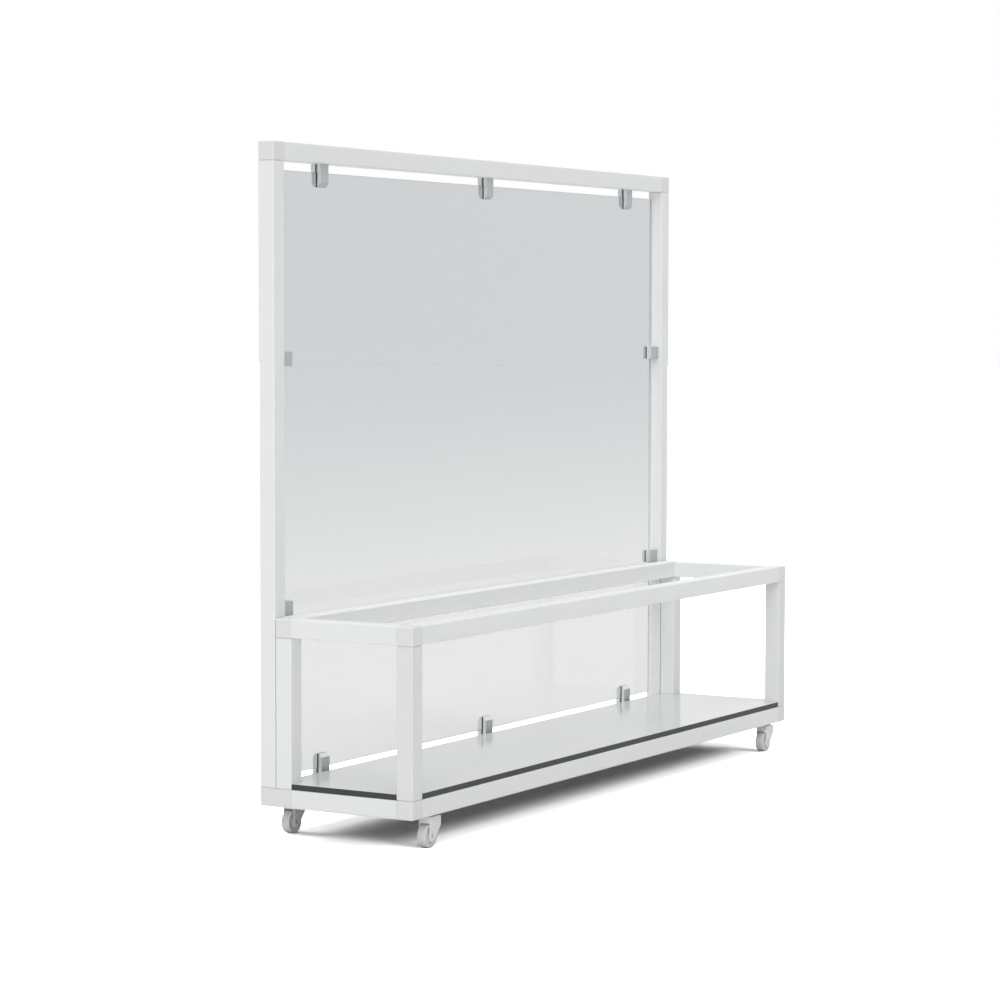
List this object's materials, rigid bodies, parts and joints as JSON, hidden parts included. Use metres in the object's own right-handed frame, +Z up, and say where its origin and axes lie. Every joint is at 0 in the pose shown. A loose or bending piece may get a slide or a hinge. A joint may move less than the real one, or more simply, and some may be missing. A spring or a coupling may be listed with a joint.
{
  "type": "room partition with planter frame",
  "caption": "Mobile room partition: a framed pane in clamps stands at the back of an open planter frame with a shelf, all in white square tube on swivel castors.",
  "frame": {"origin": "on the floor, in the middle of the footprint", "axes": "+X along the partition, +Y from the planter side to the pane side, +Z up"},
  "size_m": [1.81, 0.386, 1.485],
  "materials": {
    "frame_coat": "smooth white powder coat, satin",
    "block_coat": "white powder coat on the cast blocks and the front posts, a shade darker, satin",
    "shelf_core": "dark sawn edge of compact laminate",
    "shelf_face": "pale laminate, semi-gloss",
    "pane": "pale grey translucent pane, glossy",
    "clamp_metal": "satin plated casting",
    "clamp_gasket": "matt",
    "fastener_steel": "zinc plated",
    "castor_ring": "hardened ring, dark oiled steel",
    "castor_fork_coat": "light grey coat, satin",
    "castor_wheel": "light grey moulding",
    "castor_tyre": "light grey non-marking rubber, matt"
  },
  "bodies": {
    "frame": {"base_corner_front_left": "block_coat", "base_corner_front_right": "block_coat", "base_corner_rear_left": "block_coat", "base_corner_rear_right": "block_coat", "base_rail_front": "frame_coat", "base_rail_left": "frame_coat", "base_rail_rear": "frame_coat", "base_rail_right": "frame_coat", "castor_inserts": "fastener_steel", "castor_rings": "castor_ring", "castor_stems": "fastener_steel", "clamp_bottom_left": "clamp_metal", "clamp_bottom_middle": "clamp_metal", "clamp_bottom_right": "clamp_metal", "clamp_gaskets": "clamp_gasket", "clamp_left_lower": "clamp_metal", "clamp_left_upper": "clamp_metal", "clamp_right_lower": "clamp_metal", "clamp_right_upper": "clamp_metal", "clamp_screws": "fastener_steel", "clamp_top_left": "clamp_metal", "clamp_top_middle": "clamp_metal", "clamp_top_right": "clamp_metal", "pane": "pane", "partition_corner_left": "block_coat", "partition_corner_right": "block_coat", "partition_post_left": "frame_coat", "partition_post_right": "frame_coat", "partition_rail_top": "frame_coat", "planter_corner_front_left": "block_coat", "planter_corner_front_right": "block_coat", "planter_corner_rear_left": "block_coat", "planter_corner_rear_right": "block_coat", "planter_post_front_left": "block_coat", "planter_post_front_right": "block_coat", "planter_post_rear_left": "frame_coat", "planter_post_rear_right": "frame_coat", "planter_rail_front": "frame_coat", "planter_rail_left": "frame_coat", "planter_rail_rear": "frame_coat", "planter_rail_right": "frame_coat", "shelf_core": "shelf_core", "shelf_faces": "shelf_face", "shelf_rear_angle": "frame_coat"},
    "castor_swivel_front_left": {"castor_fork_front_left": "castor_fork_coat", "castor_axle_front_left": "fastener_steel"},
    "castor_roller_front_left": {"castor_wheel_front_left": "castor_wheel", "castor_tyre_front_left": "castor_tyre"},
    "castor_swivel_front_right": {"castor_fork_front_right": "castor_fork_coat", "castor_axle_front_right": "fastener_steel"},
    "castor_roller_front_right": {"castor_wheel_front_right": "castor_wheel", "castor_tyre_front_right": "castor_tyre"},
    "castor_swivel_rear_left": {"castor_fork_rear_left": "castor_fork_coat", "castor_axle_rear_left": "fastener_steel"},
    "castor_roller_rear_left": {"castor_wheel_rear_left": "castor_wheel", "castor_tyre_rear_left": "castor_tyre"},
    "castor_swivel_rear_right": {"castor_fork_rear_right": "castor_fork_coat", "castor_axle_rear_right": "fastener_steel"},
    "castor_roller_rear_right": {"castor_wheel_rear_right": "castor_wheel", "castor_tyre_rear_right": "castor_tyre"}
  },
  "joints": [
    {"name": "swivel_front_left", "type": "hinge", "parent": "frame", "child": "castor_swivel_front_left", "pos_m": [-0.8, -0.173, 0.06], "axis": [0, 0, 1], "continuous": true},
    {"name": "roll_front_left", "type": "hinge", "parent": "castor_swivel_front_left", "child": "castor_roller_front_left", "pos_m": [-0.816, -0.173, 0.025], "axis": [0, 1, 0], "continuous": true},
    {"name": "swivel_front_right", "type": "hinge", "parent": "frame", "child": "castor_swivel_front_right", "pos_m": [0.833, -0.173, 0.06], "axis": [0, 0, 1], "continuous": true},
    {"name": "roll_front_right", "type": "hinge", "parent": "castor_swivel_front_right", "child": "castor_roller_front_right", "pos_m": [0.817, -0.173, 0.025], "axis": [0, 1, 0], "continuous": true},
    {"name": "swivel_rear_left", "type": "hinge", "parent": "frame", "child": "castor_swivel_rear_left", "pos_m": [-0.8, 0.173, 0.06], "axis": [0, 0, 1], "continuous": true},
    {"name": "roll_rear_left", "type": "hinge", "parent": "castor_swivel_rear_left", "child": "castor_roller_rear_left", "pos_m": [-0.816, 0.173, 0.025], "axis": [0, 1, 0], "continuous": true},
    {"name": "swivel_rear_right", "type": "hinge", "parent": "frame", "child": "castor_swivel_rear_right", "pos_m": [0.833, 0.173, 0.06], "axis": [0, 0, 1], "continuous": true},
    {"name": "roll_rear_right", "type": "hinge", "parent": "castor_swivel_rear_right", "child": "castor_roller_rear_right", "pos_m": [0.817, 0.173, 0.025], "axis": [0, 1, 0], "continuous": true}
  ]
}
